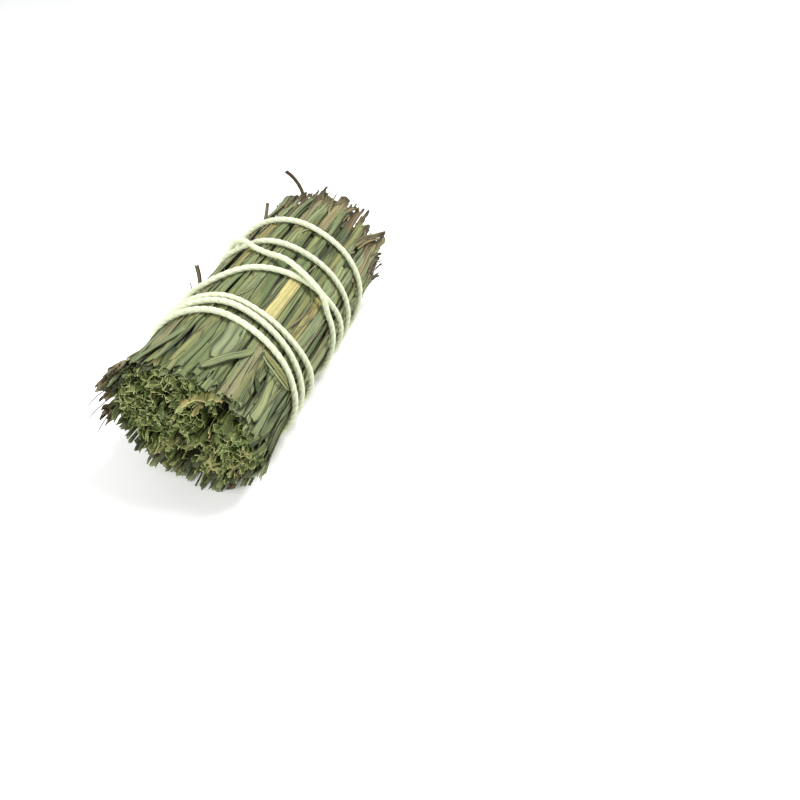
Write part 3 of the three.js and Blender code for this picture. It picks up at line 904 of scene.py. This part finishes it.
# a folded leaf that comes out from under the twine and runs along it, seen as a few thin edges
foldedLeaf = [
    {"marks": [(45, 0.1, 26.8), (35, 1.0, 25.6), (25, 1.2, 25.6), (13, 0.4, 26.4)],
     "width": 1.5, "tint": 0.86},
    {"marks": [(44, 0.1, 25.9), (36, 1.3, 24.1), (26, 1.7, 23.6), (16, 1.2, 24.6), (8, 0.2, 26.4)],
     "width": 0.8, "tint": 0.95},
    {"marks": [(44, 0.1, 25.2), (37, 1.4, 22.8), (27, 2.0, 21.9), (17, 1.5, 23.0), (7, 0.2, 26.0)],
     "width": 0.7, "tint": 0.78},
]
bm, layers = newMesh()
for i, strip in enumerate(crossedLeaves + foldedLeaf):
    addStrip(bm, layers, {"seed": 200 + i, "rows": 24, "root": 1, "crinkle": 0.2, **strip})
finishPiece("crossedLeaves", bm, greenLeaf)

# Brown leaf ends in layers at the front left, torn into points
brownEnds = {"count": 28, "seed": 79, "angles": (124, 184), "to": (9, 30), "width": (1.4, 3.8)}
spin = random.Random(brownEnds["seed"])
bm, layers = newMesh()
for i in range(brownEnds["count"]):
    angle = spin.uniform(*brownEnds["angles"])
    front = spin.uniform(-0.8, 5)
    lift = spin.uniform(0.4, 2.6)
    addStrip(bm, layers, {
        "marks": [
            (angle + spin.uniform(-4, 4), -0.6, spin.uniform(*brownEnds["to"])),
            (angle, spin.uniform(-0.3, 0.5), front + 8),
            (angle + spin.uniform(-3, 3), 0.5 * lift, front + 4),
            (angle + spin.uniform(-5, 5), lift, front),
        ],
        "width": spin.uniform(*brownEnds["width"]), "columns": 4, "rows": 18, "crinkle": 0.8, "fold": 0.5,
        "seed": 300 + i, "tip": spin.uniform(0.4, 0.8), "torn": 7.0, "twist": spin.uniform(-0.6, 0.6),
        "tint": spin.uniform(0.2, 1.0), "dry": spin.uniform(0.0, 0.25), "dryTip": 0.4,
    })
finishPiece("brownEnds", bm, tanLeaf)

# Thin fibres that lie over the leaves, and hairs that stand off the front
looseFibres = {"count": 120, "seed": 83, "width": (0.22, 0.6), "length": (7, 26), "drift": 7}
spin = random.Random(looseFibres["seed"])
bm, layers = newMesh()
for i in range(looseFibres["count"]):
    angle, start = spin.uniform(0, 360), spin.uniform(2, 112)
    length = spin.uniform(*looseFibres["length"])
    drift = spin.gauss(0, looseFibres["drift"])
    addStrip(bm, layers, {
        "marks": [
            (angle, -0.2, start),
            (angle + 0.3 * drift, spin.uniform(0.1, 0.6), start + 0.35 * length),
            (angle + 0.8 * drift, spin.uniform(0.1, 0.6), start + 0.7 * length),
            (angle + drift, spin.uniform(-0.2, 1.4), min(start + length, 124)),
        ],
        "width": spin.uniform(*looseFibres["width"]), "twist": spin.uniform(-2, 2), "seed": 400 + i,
        "tint": spin.random(),
    })
for width, dry, marks in (
    (0.8, 0.5, [(42, 0.2, 37), (37, 0.8, 46.7), (34, 0.9, 54.7), (31, 0.4, 60)]),  # right of the straw leaf
    (0.5, 0.2, [(24, 0.2, 59), (28, 0.9, 55), (31, 0.8, 48.7), (35, 0.2, 44)]),
    (0.5, 0.2, [(30, 0.2, 101), (33, 0.9, 97), (40, 0.7, 94), (47, 0.2, 92.5)]),
    (1.1, 0.9, [(152, -0.4, 48), (152, 0.8, 52), (151, 2.8, 55), (150, 5.2, 58)]),  # stands off the left
):
    addStrip(bm, layers, {"marks": marks, "width": width, "dry": dry, "tint": 0.7, "seed": 500})
finishPiece("looseFibres", bm, tanLeaf, fibreThickness)

hairs = {"width": 0.2, "marks": [
    [(168, 0.0, 12), (172, 1.6, 4), (175, 3.2, -0.5), (178, 4.6, -3.2)],
    [(176, 0.0, 12), (181, 1.4, 5), (186, 3.0, 0), (191, 5.0, -2.6)],
    [(160, 0.0, 10), (163, 1.5, 5), (165, 3.0, 1), (170, 4.6, -2)],
]}
bm, layers = newMesh()
for marks in hairs["marks"]:
    addStrip(bm, layers, {"marks": marks, "width": hairs["width"], "fold": 0, "crinkle": 0, "tint": 0.2})
finishPiece("hairs", bm, brownLeaf, hairs["width"])
print("curls, crossed leaves and fibres laid")

# The packed middle, which only shows as darkness between the leaves
packedCore = {"radius": 23.4, "from": 15.0, "to": 109.0, "sides": 72, "rows": 40, "lumps": 0.5}
bm, layers = newMesh()
made = bmesh.ops.create_cone(
    bm, cap_ends=True, cap_tris=False, segments=packedCore["sides"],
    radius1=packedCore["radius"], radius2=packedCore["radius"], depth=packedCore["to"] - packedCore["from"],
)
sides = [edge for edge in bm.edges if abs(edge.verts[0].co.z - edge.verts[1].co.z) > 1]
bmesh.ops.subdivide_edges(bm, edges=sides, cuts=packedCore["rows"], use_grid_fill=True)
middleRun = (packedCore["from"] + packedCore["to"]) / 2
for vert in bm.verts:
    angle = atan2(vert.co.y, vert.co.x)
    run = middleRun + vert.co.z
    lumps = packedCore["lumps"] * ripple(angle * 12, run / 20, 0)
    vert.co = place(angle, hypot(vert.co.x, vert.co.y) + lumps, run)
    # Painted shade: a dark tint and a depth of 0.8, as the leaves over the core cover it.
    setLayers(vert, layers, acrossMm=angle * packedCore["radius"], alongMm=run, tint=0.2, depth=0.8)
bmesh.ops.recalc_face_normals(bm, faces=bm.faces)
finishPiece("packedCore", bm, greenLeaf, 0)

# The twine: three strands twisted together, each of them spun from fibres. Real ones are finer and more:
# they are drawn coarser, to show.
twine = {
    "step": 0.55,  # mm between sections
    "pitch": 9.0,  # mm for one turn of a strand
    "strandRadius": 0.85,
    "strandOffset": 0.26,
    "fibrePitch": 4.0,
    "sides": 9,
    "wobble": 0.08,
    "floorGap": 0.02,
    "endRadius": 0.6,  # of the strand's own
}


def addTwine(bm, layers, points):
    steps = len(points) - 1
    tangents = [(points[min(i + 1, steps)] - points[max(i - 1, 0)]).normalized() for i in range(steps + 1)]
    normal = tangents[0].orthogonal().normalized()
    sections, reached = [], 0.0
    for i, tangent in enumerate(tangents):
        if i:
            reached += (points[i] - points[i - 1]).length / mm
            normal.rotate(tangents[i - 1].rotation_difference(tangent))
        normal = (normal - tangent * normal.dot(tangent)).normalized()
        sections.append((normal.copy(), tangent.cross(normal), reached))
    for strand in range(3):
        made = bmesh.ops.create_grid(bm, x_segments=twine["sides"], y_segments=steps, size=0.5)
        for vert in made["verts"]:
            i = round((vert.co.y + 0.5) * steps)
            around = (vert.co.x + 0.5) * tau
            side, up, reached = sections[i]
            twist = tau * (reached / twine["pitch"] + strand / 3)
            toEnd = min(i, steps - i)
            radius = twine["strandRadius"] * (1 if toEnd else twine["endRadius"])
            offset = (side * cos(twist) + up * sin(twist)) * twine["strandOffset"]
            out = (side * cos(around + twist) + up * sin(around + twist)) * radius
            vert.co = points[i] + (offset + out) * mm
            spun = around - tau * reached / twine["fibrePitch"]
            setLayers(vert, layers, fibreX=cos(spun), fibreY=sin(spun), alongMm=reached + strand * 40)
        bmesh.ops.remove_doubles(bm, verts=made["verts"], dist=1e-6)
    bmesh.ops.holes_fill(bm, edges=[edge for edge in bm.edges if edge.is_boundary], sides=0)


def smoothPath(points):
    path = []
    for i in range(len(points) - 1):
        near = marksRound(points, i)
        count = max(2, round((near[2] - near[1]).length / mm / twine["step"]))
        path += [smoothBetween(*near, k / count) for k in range(count)]
    path.append(points[-1])
    return path


def twinePoint(turned):
    wobble = twine["wobble"] * ripple(turned / 25, 0, 0)
    radius = bundle["twineTrack"] + climbAt(turned) + wobble
    angle = radians(-turned)
    height = bundle["axisHeight"] + radius * sin(angle)
    lowest = bundle["twineRadius"] + twine["floorGap"] + climbAt(turned)
    return Vector((axisX + radius * cos(angle), startY + twineRun(turned), max(height, lowest))) * mm


degreesPerStep = degrees(twine["step"] / bundle["twineTrack"])
twineSteps = round((markTurns[-1] - markTurns[0]) / degreesPerStep)
route = [twinePoint(lerp(markTurns[0], markTurns[-1], i / twineSteps)) for i in range(twineSteps + 1)]
bm, layers = newMesh(fibreLayerNames)
addTwine(bm, layers, route)

# An overhand knot drawn tight, with two short ends given by angle, rise and run
knotShape = {"steps": 60, "across": 1.3, "ring": 0.9, "lobes": 1.7}
knotEnds = (
    [(-158, 0.6, 20), (-152, 0.0, 15.5), (-150, 0.4, 11)],
    [(-172, 0.8, 20.5), (-177, 1.0, 17.5), (-179, 0.6, 15)],
)
knotRadius = bundle["twineTrack"] + knot["rise"]
knotMiddle = place(radians(knot["angle"]), knotRadius, knot["run"])
loops = []
for i in range(knotShape["steps"] + 1):
    t = tau * i / knotShape["steps"]
    loops.append(knotMiddle + Vector((
        -sin(3 * t) * knotShape["across"],
        sin(t) * knotShape["ring"] + sin(2 * t) * knotShape["lobes"],
        cos(t) * knotShape["ring"] - cos(2 * t) * knotShape["lobes"],
    )) * mm)
addTwine(bm, layers, loops)
for tail in knotEnds:
    bends = [knotMiddle] + [place(radians(angle), knotRadius + rise, run) for angle, rise, run in tail]
    addTwine(bm, layers, smoothPath(bends))
bmesh.ops.recalc_face_normals(bm, faces=bm.faces)
finishPiece("cottonTwine", bm, cotton, 0, ["twine"])
twineLength = sum((route[i + 1] - route[i]).length for i in range(twineSteps))
print("twine wound, %.2f m" % twineLength)

# Loose fibres that stand off the twine
twineFuzz = {
    "count": 1500,
    "seed": 71,
    "length": (0.5, 1.5),
    "radius": 0.022,
    "around": 1.9,  # how far round the twine's outer side they stand, in radians
    "lean": 1.2,
    "stray": 0.4,
    "rooted": 0.15,
    "floorGap": 0.1,
}
spin = random.Random(twineFuzz["seed"])
bm, layers = newMesh(fibreLayerNames)
for i in range(twineFuzz["count"]):
    k = spin.randrange(1, twineSteps)
    tangent = (route[k + 1] - route[k - 1]).normalized()
    outwards = Vector((route[k].x - axisX * mm, 0, route[k].z - bundle["axisHeight"] * mm)).normalized()
    sideways = tangent.cross(outwards)
    turnRound = spin.uniform(-twineFuzz["around"], twineFuzz["around"])
    stand = outwards * cos(turnRound) + sideways * sin(turnRound)
    root = route[k] + stand * (bundle["twineRadius"] - twineFuzz["rooted"]) * mm
    lean = tangent * spin.uniform(-twineFuzz["lean"], twineFuzz["lean"])
    stray = Vector([spin.uniform(-twineFuzz["stray"], twineFuzz["stray"])] * 3)
    direction = (stand + lean + stray).normalized()
    length = spin.uniform(*twineFuzz["length"]) * mm
    if (root + direction * length).z < twineFuzz["floorGap"] * mm:
        continue
    made = bmesh.ops.create_cone(
        bm, cap_ends=True, cap_tris=True, segments=3,
        radius1=twineFuzz["radius"] * mm, radius2=0.25 * twineFuzz["radius"] * mm, depth=length,
    )
    turnTo = Vector((0, 0, 1)).rotation_difference(direction).to_matrix()
    for vert in made["verts"]:
        vert.co = turnTo @ vert.co + root + direction * length / 2
finishPiece("twineFuzz", bm, cotton, 0, ["twine"])

# A white studio floor, soft light from above, behind and to the right, and a weaker one from the front
stageLook = {
    "floorSize": 8.0,  # m
    "floor": "#f4f4f2",
    "floorRoughness": 0.9,
    "world": "#fbfcff",
    "worldStrength": 0.78,
}
bm = bmesh.new()
bmesh.ops.create_grid(bm, x_segments=1, y_segments=1, size=stageLook["floorSize"] / 2)
floorMesh = bpy.data.meshes.new("floor")
bm.to_mesh(floorMesh)
bm.free()
floorMaterial, floorTree, floorShader = newMaterial("studioFloor")
floorShader.inputs["Base Color"].default_value = linear(stageLook["floor"])
floorShader.inputs["Roughness"].default_value = stageLook["floorRoughness"]
floorMesh.materials.append(floorMaterial)
floorObject = addObject("floor", floorMesh)

world = bpy.data.worlds.new("studio")
world.use_nodes = True
background = world.node_tree.nodes["Background"]
background.inputs["Color"].default_value = linear(stageLook["world"])
background.inputs["Strength"].default_value = stageLook["worldStrength"]
bpy.context.scene.world = world

lamps = [
    {"name": "keyLight", "from": (0.34, 0.22, 0.70), "size": 0.26, "watts": 6.8},
    {"name": "fillLight", "from": (-0.25, -0.75, 0.40), "size": 0.5, "watts": 6.0},
]
for lamp in lamps:
    data = bpy.data.lights.new(lamp["name"], "AREA")
    data.shape = "DISK"
    data.size = lamp["size"]
    data.energy = lamp["watts"]
    light = addObject(lamp["name"], data)
    light.location = lamp["from"]
    light.rotation_euler = (-Vector(lamp["from"])).to_track_quat("-Z", "Y").to_euler()

bpy.context.scene.view_settings.view_transform = "Standard"
print("stage set")
